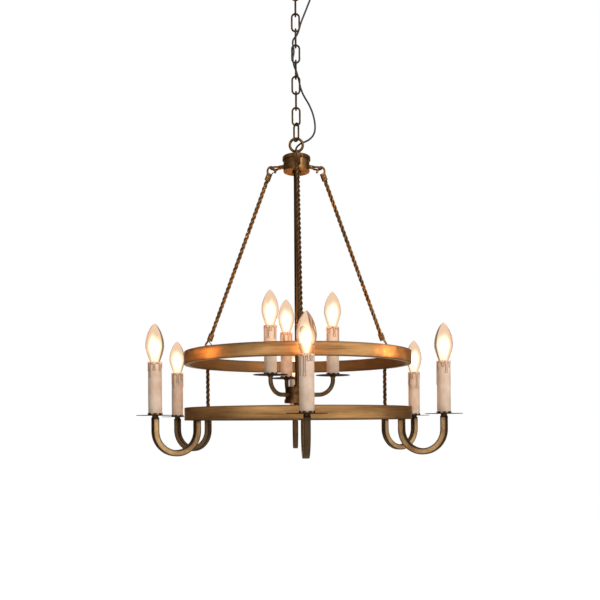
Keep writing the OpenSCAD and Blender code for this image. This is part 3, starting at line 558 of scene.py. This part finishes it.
CORD_D = 3.8
CORD_ROUTE = np.array([
    (-2, 12, -414), (-2, 12, -408), (-1.5, 12, -402), (0.5, 11.5, -395), (5.5, 10.5, -389.5),
    (12, 9.5, -385.5), (20, 8, -383), (28, 6, -379), (34.5, 4, -373), (38.5, 2, -365),
    (39.5, 0, -356), (39, 0, -347), (37.5, 0, -338), (34.5, 0, -326.5), (30.5, 0.5, -316),
    (26, 1.5, -306), (20.5, 3, -296), (15.5, 5, -286), (12, 6.2, -277), (9, 6.3, -267),
    (7, 5.5, -258), (4.5, 3.5, -249), (1.5, 0.5, -240), (-2.5, -2, -232), (-5, -4, -223.5),
    (-6.2, -5, -215), (-4.5, -4.6, -206), (-3.8, -4.4, -199), (-5, -4.6, -191),
    (-6.3, -5, -183), (-5.2, -3.8, -176), (-1.5, -1, -169), (2.5, 2.5, -162.5),
    (5.5, 5.2, -155), (8, 6, -147), (10.5, 5.5, -138), (14, 4.5, -129), (18, 3.5, -119.5),
    (22.5, 2.5, -109), (27, 1.5, -98), (31.5, 1, -87), (35, 0.5, -76), (36.5, 0, -65),
    (35, 0, -55), (31.8, 0, -48), (31, 0, -43),
], float)
# Heights where one stretch of the cord meets the next, between the chain's joints
CORD_CUTS = (-386, -368.75, -336.05, -303.35, -270.65, -237.95, -205.25, -172.55, -139.85, -107.15, -74.75)


def smooth_route(points, step=1.0):
    """A curve through the points: cubic pieces whose slopes join neighbours, about a point a millimetre."""
    chord = np.r_[0, np.cumsum(np.sqrt(np.linalg.norm(np.diff(points, axis=0), axis=1)))]
    slope = np.gradient(points, chord, axis=0)
    slope[0] = slope[-1] = (0, 0, np.linalg.norm(slope[0]))
    out = []
    for i in range(len(points) - 1):
        h = chord[i + 1] - chord[i]
        count = max(2, int(np.linalg.norm(points[i + 1] - points[i]) / step))
        s = np.linspace(0, 1, count, endpoint=False)[:, None]
        out.append(
            (2 * s**3 - 3 * s**2 + 1) * points[i] + (s**3 - 2 * s**2 + s) * h * slope[i]
            + (3 * s**2 - 2 * s**3) * points[i + 1] + (s**3 - s**2) * h * slope[i + 1]
        )
    return np.concatenate(out + [points[-1:]])


def make_cord():
    """The cord in one stretch for each joint of the chain."""
    line = smooth_route(CORD_ROUTE)
    _, u, v = carried(line, (1, 0, 0))
    circle = ring_of(CORD_D / 2, 20)[None]
    cuts = [0] + [int(np.argmin(abs(line[:, 2] - z))) for z in CORD_CUTS] + [len(line) - 1]
    for k, (a, b) in enumerate(zip(cuts[:-1], cuts[1:])):
        path = line[a:b + 1]
        part = surface(skin(path, circle, u[a:b + 1], v[a:b + 1]), wrap_columns=True)
        replaces = ["power_cord"] if k == 0 else []
        piece = make_piece(f"cord_{k + 1}", [part], JACKET, replaces=replaces)
        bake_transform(piece)


make_cord()


# ---------------------------------------------------------------- wheel

def rounded_box_section(width, height, radius):
    """A rounded rectangle as points (a, b), and how near each lies to a corner, from 0 to 1."""
    steps, between = 4, 8  # points on each corner and on each side
    corner_shade_fade = 1.1  # millimetres over which the painted shade along a corner fades
    points, near = [], []
    corners = [(1, 1), (-1, 1), (-1, -1), (1, -1)]
    for k, (sx, sy) in enumerate(corners):
        a = np.radians(90 * k + np.linspace(0, 90, steps))
        middle = np.array([sx * (width / 2 - radius), sy * (height / 2 - radius)])
        corner = middle + radius * np.stack([np.cos(a), np.sin(a)], -1)
        points.append(corner)
        near.append(np.ones(steps))
        nx, ny = corners[(k + 1) % 4]
        following = np.array([nx * (width / 2 - radius), ny * (height / 2 - radius)])
        square = math.radians(90 * k + 90)
        first = following + radius * np.array([math.cos(square), math.sin(square)])
        s = np.linspace(0, 1, between + 2)[1:-1]
        s = 0.5 - 0.5 * np.cos(np.pi * s)
        run = np.linalg.norm(first - corner[-1])
        points.append(corner[-1] + s[:, None] * (first - corner[-1]))
        near.append(np.exp(-np.minimum(s, 1 - s) * run / corner_shade_fade))
    return np.concatenate(points), np.concatenate(near)


def make_rings():
    """Both rings: a rounded box section carried round the axis, brushed outside and rougher elsewhere, with
    painted shade on the inner, top and bottom faces and on the corners.
    """
    section, near = rounded_box_section(RING_T, RING_H, 0.9)
    out, face = section[:, 0], RING_T / 2 - 0.95
    # Painted shade, with a rougher finish: 0.75 on the inner face, 0.5 on the top and bottom faces, none on
    # the outer face.
    dull = np.where(out > face, 0.0, np.where(out < -face, 0.75, 0.5))
    a = np.linspace(0, 2 * np.pi, 288, endpoint=False)[:, None]
    for name, z in (("upper_ring", UPPER_RING_Z), ("lower_ring", LOWER_RING_Z)):
        r = RING_MID_R + section[None, :, 0]
        points = np.stack([r * np.cos(a), r * np.sin(a), z + RING_H / 2 + section[None, :, 1] + 0 * a], -1)
        # The rounded corners also take painted shade by edge.
        part = surface(points, True, True, edge=near[None] * 0.8, dull=dull[None])
        make_piece(name + "_band", [part], RING_BRASS, "wheel", [name])


def make_outer_arms():
    """Six square tubes: down from the lower ring, half round, up to the seat, with painted shade on their
    corners and on their curved faces, which are also rougher.
    """
    section, near = rounded_box_section(ARM_SIDE, ARM_SIDE, 1.1)
    curved = np.abs(section[:, 1]) > ARM_SIDE / 2 - 0.5
    a = np.linspace(math.pi, 2 * math.pi, 41)
    across, along = RING_MID_R + ARM_BEND + ARM_BEND * np.cos(a), ARM_CENTRE_Z + ARM_BEND * np.sin(a)
    bend = np.stack([across, 0 * a, along], -1)
    down = np.linspace((RING_MID_R, 0, LOWER_RING_Z), (RING_MID_R, 0, ARM_CENTRE_Z), 6)[:-1]
    up = np.linspace((OUTER_R, 0, ARM_CENTRE_Z), (OUTER_R, 0, OUTER_SEAT_Z), 7)[1:]
    path = np.concatenate([down, bend, up])
    # Painted shade: the edge colour on the corners and, at 0.8, over the curved faces, which the face mask
    # also darkens.
    part = sweep(path, section, edge=np.maximum(near, 0.8 * curved)[None], dull=0.5 * curved[None])
    parts = [turned(part, angle) for angle in OUTER_ANGLES]
    make_piece("outer_arm_tubes", parts, ARM_BRASS, "wheel", ["outer_arms"])


def strand_section(d, turns):
    """Three round strands laid together, turned by each of the turns, and how deep each point's groove is.

    In each third r = c cos a + sqrt(s^2 - c^2 sin^2 a), with s a strand's radius and c its middle's.
    """
    s = d / 2 / (1 + 2 / math.sqrt(3))
    c = d / 2 - s
    a = np.linspace(0, 2 * np.pi, 42, endpoint=False)
    fold = (a + np.pi / 3) % (2 * np.pi / 3) - np.pi / 3
    r = c * np.cos(fold) + np.sqrt(np.maximum(s**2 - (c * np.sin(fold)) ** 2, 0))
    r = np.maximum(r, 0.5 * d / 2)
    groove = np.clip(1.25 - (r - 0.5 * d / 2) / (0.3 * d / 2), 0, 1)
    spin = a[None] + np.asarray(turns)[:, None]
    return np.stack([r * np.cos(spin), r * np.sin(spin)], -1), groove


def twist(length, d):
    """A three-strand twist from z = 0 to its length."""
    z = np.linspace(0, length, int(length / LAY * 22))
    path = np.stack([0 * z, 0 * z, z], -1)
    section, groove = strand_section(d, 2 * np.pi * z / LAY)
    return sweep(path, section, (1, 0, 0), groove=np.broadcast_to(groove, (len(z), len(groove))))


def arc_path(radius, centre_z, start, angle):
    """48 points of an arc in the XZ plane, with its middle over the origin."""
    a = np.radians(np.linspace(start, start + angle, 48))
    return np.stack([radius * np.cos(a), 0 * a, centre_z + radius * np.sin(a)], -1)


def wire(path, d):
    """A round wire along a path, its ends drawn in to flat domes."""
    path = np.asarray(path, float)
    t = np.gradient(path, axis=0)
    t /= np.linalg.norm(t, axis=1, keepdims=True)
    a, flat = np.radians([75, 50, 25]), 0.7
    head = path[0] - t[0] * (np.sin(a) * d / 2 * flat)[:, None] + t[0] * d / 2 * flat
    tail = path[-1] + t[-1] * (np.sin(a[::-1]) * d / 2 * flat)[:, None] - t[-1] * d / 2 * flat
    size = np.r_[np.cos(a), np.ones(len(path) - 2), np.cos(a[::-1])]
    section = size[:, None, None] * ring_of(d / 2, 20)[None]
    return sweep(np.concatenate([head, path[1:-1], tail]), section)


def ferrule(z, height, d):
    """A crimped sleeve: a cylinder with rounded rims and a shallow waist at a third and two thirds."""
    s = np.linspace(0, 1, 25)
    waist = 0.45 * (np.exp(-((s - 0.3) / 0.07) ** 2) + np.exp(-((s - 0.7) / 0.07) ** 2))
    r = d / 2 - waist - 0.5 * (np.abs(2 * s - 1) > 0.97)
    profile = [(0, z)] + list(zip(r, z + s * height)) + [(0, z + height)]
    dark = np.r_[1, np.clip(waist * 1.6, 0, 1), 1]
    return lathe(profile, turns=40, groove=dark[None])


TOP_HOOK_R, LOW_HOOK_R, HOOK_WIRE = 8.0, 6.0, 4.4
SIDE_LOOP_WIRE = 4.0
TOP_SLACK, LOW_SLACK = 0.3, 0.5  # gaps between each hook and the loop that it hangs in
LOW_SHANK = 9.5
FERRULE_H, FERRULE_D = 16.0, 12.5


def make_rods():
    """Each rod: hooks above and below, a crimped sleeve inside each, and the twist between them.

    It is built plumb below its upper pivot, then leant outwards and turned to its place.
    """
    top_drop = TOP_HOOK_R - HOOK_WIRE / 2 - TOP_SLACK - SIDE_LOOP_WIRE / 2
    low_lift = LOW_HOOK_R - HOOK_WIRE / 2 - LOW_SLACK - BOLT_WIRE / 2
    lean, back = math.radians(18), math.radians(220)
    top_end = top_drop + 6
    low_end = ROD_LENGTH - (low_lift + LOW_HOOK_R * math.sin(lean) + LOW_SHANK * math.cos(lean))
    top_arc = arc_path(TOP_HOOK_R, -top_drop, -70, 200)
    way = np.array([math.cos(back), 0, math.sin(back)])
    leg = top_arc[-1] + np.linspace(1, 12, 8)[:, None] * way
    low_arc = arc_path(LOW_HOOK_R, -ROD_LENGTH + low_lift, 150, 228)
    shank = low_arc[-1] + np.linspace(0.8, 11.5, 7)[:, None] * (-math.sin(lean), 0, math.cos(lean))
    rope = twist(low_end - top_end - 2 * FERRULE_H, ROD_D)
    parts = [
        wire(np.concatenate([top_arc, leg]), HOOK_WIRE),
        wire(np.concatenate([low_arc, shank]), HOOK_WIRE),
        ferrule(-top_end - FERRULE_H, FERRULE_H, FERRULE_D),
        ferrule(-low_end, FERRULE_H, FERRULE_D),
        moved(rope, Matrix.Translation((0, 0, -low_end + FERRULE_H))),
    ]
    tilt = Matrix.Translation((TOP_PIVOT_R, 0, TOP_PIVOT_Z)) @ Matrix.Rotation(-ROD_TILT, 4, "Y")
    for name, angle in ROD_ANGLES.items():
        spin = Matrix.Rotation(math.radians(angle), 4, "Z") @ tilt
        placed = [moved(part, spin) for part in parts]
        # The front rod takes the copy with painted shade.
        finish = SHADED_TWIST if name == "rod_front" else TWIST_BRASS
        make_piece(name + "_twist", placed, finish, name, [name])


def make_posts():
    """Three twisted posts between the rings."""
    post = moved(twist(RINGS_GAP, POST_D), Matrix.Translation((RING_MID_R, 0, LOWER_RING_Z + RING_H)))
    parts = [turned(post, angle) for angle in ROD_ANGLES.values()]
    # The posts take the twisted brass copy with painted shade.
    make_piece("post_twists", parts, SHADED_TWIST, "wheel", ["ring_posts"])


make_rings()
make_outer_arms()
make_rods()
make_posts()


# ---------------------------------------------------------------- candles

def candle_places():
    """Name of the group, angle and foot of each candle: six outer, then three inner."""
    for group, angles, r, seat in (
        ("outer", OUTER_ANGLES, OUTER_R, OUTER_SEAT_Z),
        ("inner", INNER_ANGLES, INNER_R, INNER_SEAT_Z),
    ):
        for a in map(math.radians, angles):
            yield group, (r * math.cos(a), r * math.sin(a), seat)


def drip_field(round_mm, down_mm, seed):
    """Millimetres to the edge of the wax, negative inside it, from nine runs and an uneven lip."""
    rng = np.random.default_rng(seed)
    girth = 2 * math.pi * SLEEVE_R
    field = np.full(np.broadcast(round_mm, down_mm).shape, 50.0)
    count = 9
    for k in range(count):
        middle = (k + rng.uniform(-0.3, 0.3)) * girth / count
        length = rng.choice([7.0, 11.0, 15.0, 21.0, 29.0, 38.0]) * rng.uniform(0.85, 1.15)
        half = rng.uniform(1.2, 1.9)
        side = np.abs((round_mm - middle + girth / 2) % girth - girth / 2)
        bow = half * (0.55 + 1.3 * np.exp(-down_mm / 3.5) + 0.65 * np.exp(-((down_mm - length) / 2.2) ** 2))
        past = np.maximum(down_mm - length, 0)
        run = np.hypot(side, past * 1.1) - bow
        field = np.minimum(field, run)
    lip = down_mm - 3.4 - 1.3 * np.sin(round_mm * 0.41 + seed) - 0.7 * np.sin(round_mm * 0.97 + 2 * seed)
    return np.minimum(field, lip)


def sleeve_part(x, y, foot, seed, reach):
    """One sleeve with runs of wax: a wall raised inside the runs, a rounded lip, and a plain inner wall.

    reach is how far down, in millimetres, the painted glow of the lamp's light reaches on the wall.
    """
    turns = 156
    top = foot + SLEEVE_H
    down = np.r_[np.linspace(SLEEVE_H, 48, 14), np.linspace(47, 0.9, 74)]
    a = np.linspace(0, 2 * np.pi, turns, endpoint=False)[:, None]
    field = drip_field(a * SLEEVE_R, down[None], seed)
    rise = 0.75 * np.clip(-field / 0.9 + 0.15, 0, 1) ** 0.7
    wander = 0.12 * np.sin(3 * a + seed) * np.sin(down[None] / 17 + seed)
    outer = SLEEVE_R - 0.2 + rise + wander * np.clip((SLEEVE_H - down[None]) / 10, 0, 1)
    line = np.exp(-((field - 0.4) / 0.92) ** 2)
    strength = 0.6 + 0.4 * np.exp(-down[None] / 40)
    dark = np.clip(line * strength + 0.55 * np.exp(-down[None] / 1.2), 0, 1)
    # Over the lip and down inside: how far down each point lies, and how dark it is
    depth = np.r_[down, [0.35, 0.0, 0.0, 0.3, 6.0, SLEEVE_H]]
    tail = np.broadcast_to(np.array([0.6, 0.5, 0.4, 0.3, 0.1, 0.1]), (turns, 6))
    lip_r = np.stack([outer[:, -1] + s for s in (0.0, -0.5, -1.1)], -1)
    inner_r = np.full((turns, 3), SLEEVE_R - SLEEVE_WALL)
    r = np.concatenate([outer, lip_r, inner_r], 1)
    points = np.stack([x + r * np.cos(a), y + r * np.sin(a), (top - depth)[None] + 0 * a], -1)
    # The painted glow: strongest at the lip, fading down the wall over reach.
    warm = np.exp(-np.maximum(depth, 0) / reach)[None]
    return surface(points, True, True, antique=np.concatenate([dark, tail], 1), warm=warm)


def make_sleeves():
    """The nine candle sleeves, the outer six as one piece and the inner three as another."""
    groups = {"outer": [], "inner": []}
    for seed, (group, (x, y, z)) in enumerate(candle_places()):
        reach = 9 if group == "outer" else 26
        groups[group].append(sleeve_part(x, y, z + SLEEVE_FOOT, seed + 3, reach))
    for group, body in (("outer", "wheel"), ("inner", "hub")):
        name = group + "_drip_sleeves"
        make_piece(name, groups[group], DRIP_IVORY, body, [group + "_sleeves"])


# A bulb above its sleeve's top: radius, height of the tip and of the widest place, radius at the sleeve's
# mouth, and how far down and how narrow the glass goes into the cap
BULB_R, BULB_TOP, BULB_WIDE, MOUTH_R, CAP_DROP, CAP_R = 17.5, 73.4, 30.0, 8.9, 5.0, 6.9
GLASS_WALL = 0.8


def glass_radius(h):
    """Radius of the glass at a height above the sleeve: a taper up to its widest place, then a bell."""
    above = BULB_R * np.maximum(1 - ((h - BULB_WIDE) / (BULB_TOP - BULB_WIDE)) ** 2, 0) ** 0.78
    taper = MOUTH_R + (BULB_R - MOUTH_R) * (1 - np.clip((BULB_WIDE - h) / BULB_WIDE, 0, 1) ** 1.35)
    neck = CAP_R + (MOUTH_R - CAP_R) * np.clip(1 + h / CAP_DROP, 0, 1)
    return np.where(h >= BULB_WIDE, above, np.where(h >= 0, taper, neck))


def make_bulbs():
    """Nine bulbs: a thin shell of glass, and the glowing wire on its two supports."""
    low = np.linspace(-CAP_DROP, BULB_WIDE, 26)[:-1]
    high = BULB_WIDE + (BULB_TOP - BULB_WIDE) * np.sin(np.linspace(0, math.pi / 2, 30))
    h = np.r_[low, high]
    r = glass_radius(h)
    inner_h = np.minimum(h, BULB_TOP - GLASS_WALL)
    inner_r = np.maximum(r - GLASS_WALL, 0) * (inner_h < BULB_TOP - GLASS_WALL)
    turn = np.linspace(0, 2 * np.pi, 48, endpoint=False)[:, None]
    profile = np.concatenate([np.stack([r, h], -1), np.stack([inner_r, inner_h], -1)[::-1]])
    a = np.linspace(0, 1, 90)
    coil = np.stack([
        5.2 * np.sin(math.pi * (a - 0.5)) * (1 - 0.2 * np.cos(2 * math.pi * a)),
        0.7 * np.sin(40 * a),
        14 + 17 * np.sin(math.pi * a),
    ], -1)
    heat = np.clip(1.4 * np.sin(math.pi * a), 0, 1)
    for k, (_, (x, y, z)) in enumerate(candle_places()):
        base = z + SLEEVE_FOOT + SLEEVE_H
        body, number = f"bulb_{k + 1}", k + 1
        lift = h + 3.0 * np.sin(3 * turn + k) + 2.0 * np.sin(7 * turn + 2 * k)
        glow = np.clip((54 - lift) / 24, 0, 1) ** 1.5 * (0.45 + 0.55 * np.clip(h / 22, 0, 1))
        shell = lathe(profile + (0, base), (x, y), 48, glow=np.concatenate([glow, glow[:, ::-1]], 1))
        make_piece(f"bulb_shell_{number}", [shell], BULB_GLASS, body, [f"bulb_glass_{number}"])
        path = coil + (x, y, base)
        part = sweep(path, ring_of(0.7, 8), heat=np.broadcast_to(heat[:, None], (90, 8)))
        make_piece(f"bulb_wire_{number}", [part], FILAMENT, body)


make_sleeves()
make_bulbs()


# ---------------------------------------------------------------- finishes of the CAD nodes

FINISH = {
    PAN_BRONZE: ["inner_pans", "outer_pans"],
    DARK_BRONZE: ["canopy", "canopy_loop", "inner_cups", "outer_cups", "eye_bolts"]
    + [f"chain_link_{i}" for i in range(1, 11)],
    BRONZE: ["hub_eye", "hub_lid", "hub_shell", "hub_side_loops", "cluster_body", "cluster_base", "hub_ring"],
    SHADED_STEM_BRASS: ["stem"],
    INNER_BRASS: ["inner_arms"],
    ZINC: ["ceiling_bracket"],
    NICKEL: [f"bulb_cap_{k}" for k in range(1, 10)],
    JACKET: ["cord_grip", "feed_wire"],
    MOULDED: ["hub_connector", "inner_sockets", "outer_sockets"],
}
for finish, names in FINISH.items():
    for name in names:
        mesh = NODES[name].data
        mesh.materials.clear()
        mesh.materials.append(finish)


# ---------------------------------------------------------------- studio

def make_studio():
    """A white world, a pale floor, two dark flags that only the object mirrors, and two soft lamps."""
    scene = bpy.context.scene
    scene.view_settings.view_transform = "Standard"
    world = bpy.data.worlds.new("studio")
    scene.world = world
    world.use_nodes = True
    tree = Tree(world.node_tree)
    tree.nodes.clear()
    seen = tree.seen()
    soft = tree.add("Background", {"Color": (1, 0.985, 0.97, 1), "Strength": 0.62})
    white = tree.add("Background", {"Color": (1, 1, 1, 1), "Strength": 1.0})
    both = tree.add("MixShader", {0: seen, 1: soft.outputs[0], 2: white.outputs[0]})
    output = tree.add("OutputWorld")
    world.node_tree.links.new(both.outputs[0], output.inputs[0])

    floor_mesh = bpy.data.meshes.new("floor")
    half, low = 8, -2.4
    corners = [(-half, -half, low), (half, -half, low), (half, half, low), (-half, half, low)]
    floor_mesh.from_pydata(corners, [], [(0, 1, 2, 3)])
    floor = bpy.data.objects.new("floor", floor_mesh)
    scene.collection.objects.link(floor)
    pale = bpy.data.materials.new("pale_floor")
    pale.use_nodes = True
    tree = Tree(pale.node_tree)
    tree.nodes.clear()
    seen = tree.seen()
    plain = tree.add("BsdfDiffuse", {"Color": (0.9, 0.9, 0.9, 1)})
    lift = tree.add("Emission", {"Color": (1, 1, 1, 1), "Strength": tree.math("MULTIPLY", seen, 0.55)})
    total = tree.add("AddShader", {0: plain.outputs[0], 1: lift.outputs[0]})
    output = tree.add("OutputMaterial")
    pale.node_tree.links.new(total.outputs[0], output.inputs[0])
    floor_mesh.materials.append(pale)

    dark = bpy.data.materials.new("dark_flag")
    dark.use_nodes = True
    shader = dark.node_tree.nodes["Principled BSDF"]
    shader.inputs["Base Color"].default_value = srgb(34, 27, 21)
    shader.inputs["Roughness"].default_value = 0.9
    for name, x, near_y, far_y in (("left_flag", -1.35, -1.0, 3.0), ("right_flag", 1.5, 0.1, 3.0)):
        mesh = bpy.data.meshes.new(name)
        corners = [(x, near_y, -1.9), (x, far_y, -1.9), (x, far_y, 0.2), (x, near_y, 0.2)]
        mesh.from_pydata(corners, [], [(0, 1, 2, 3)])
        mesh.materials.append(dark)
        flag = bpy.data.objects.new(name, mesh)
        scene.collection.objects.link(flag)
        flag.visible_camera = False

    middle = Vector((0, 0, -0.75))
    for name, place, size, power in (
        ("key", (1.7, -2.1, 0.5), 1.4, 34.0),
        ("fill", (-1.3, -2.4, -0.5), 1.2, 6.0),
    ):
        data = bpy.data.lights.new(name, "AREA")
        data.size, data.energy, data.color = size, power, (1.0, 0.97, 0.93)
        lamp = bpy.data.objects.new(name, data)
        scene.collection.objects.link(lamp)
        aim = (middle - Vector(place)).to_track_quat("-Z", "Y")
        lamp.matrix_world = Matrix.Translation(place) @ aim.to_matrix().to_4x4()


make_studio()
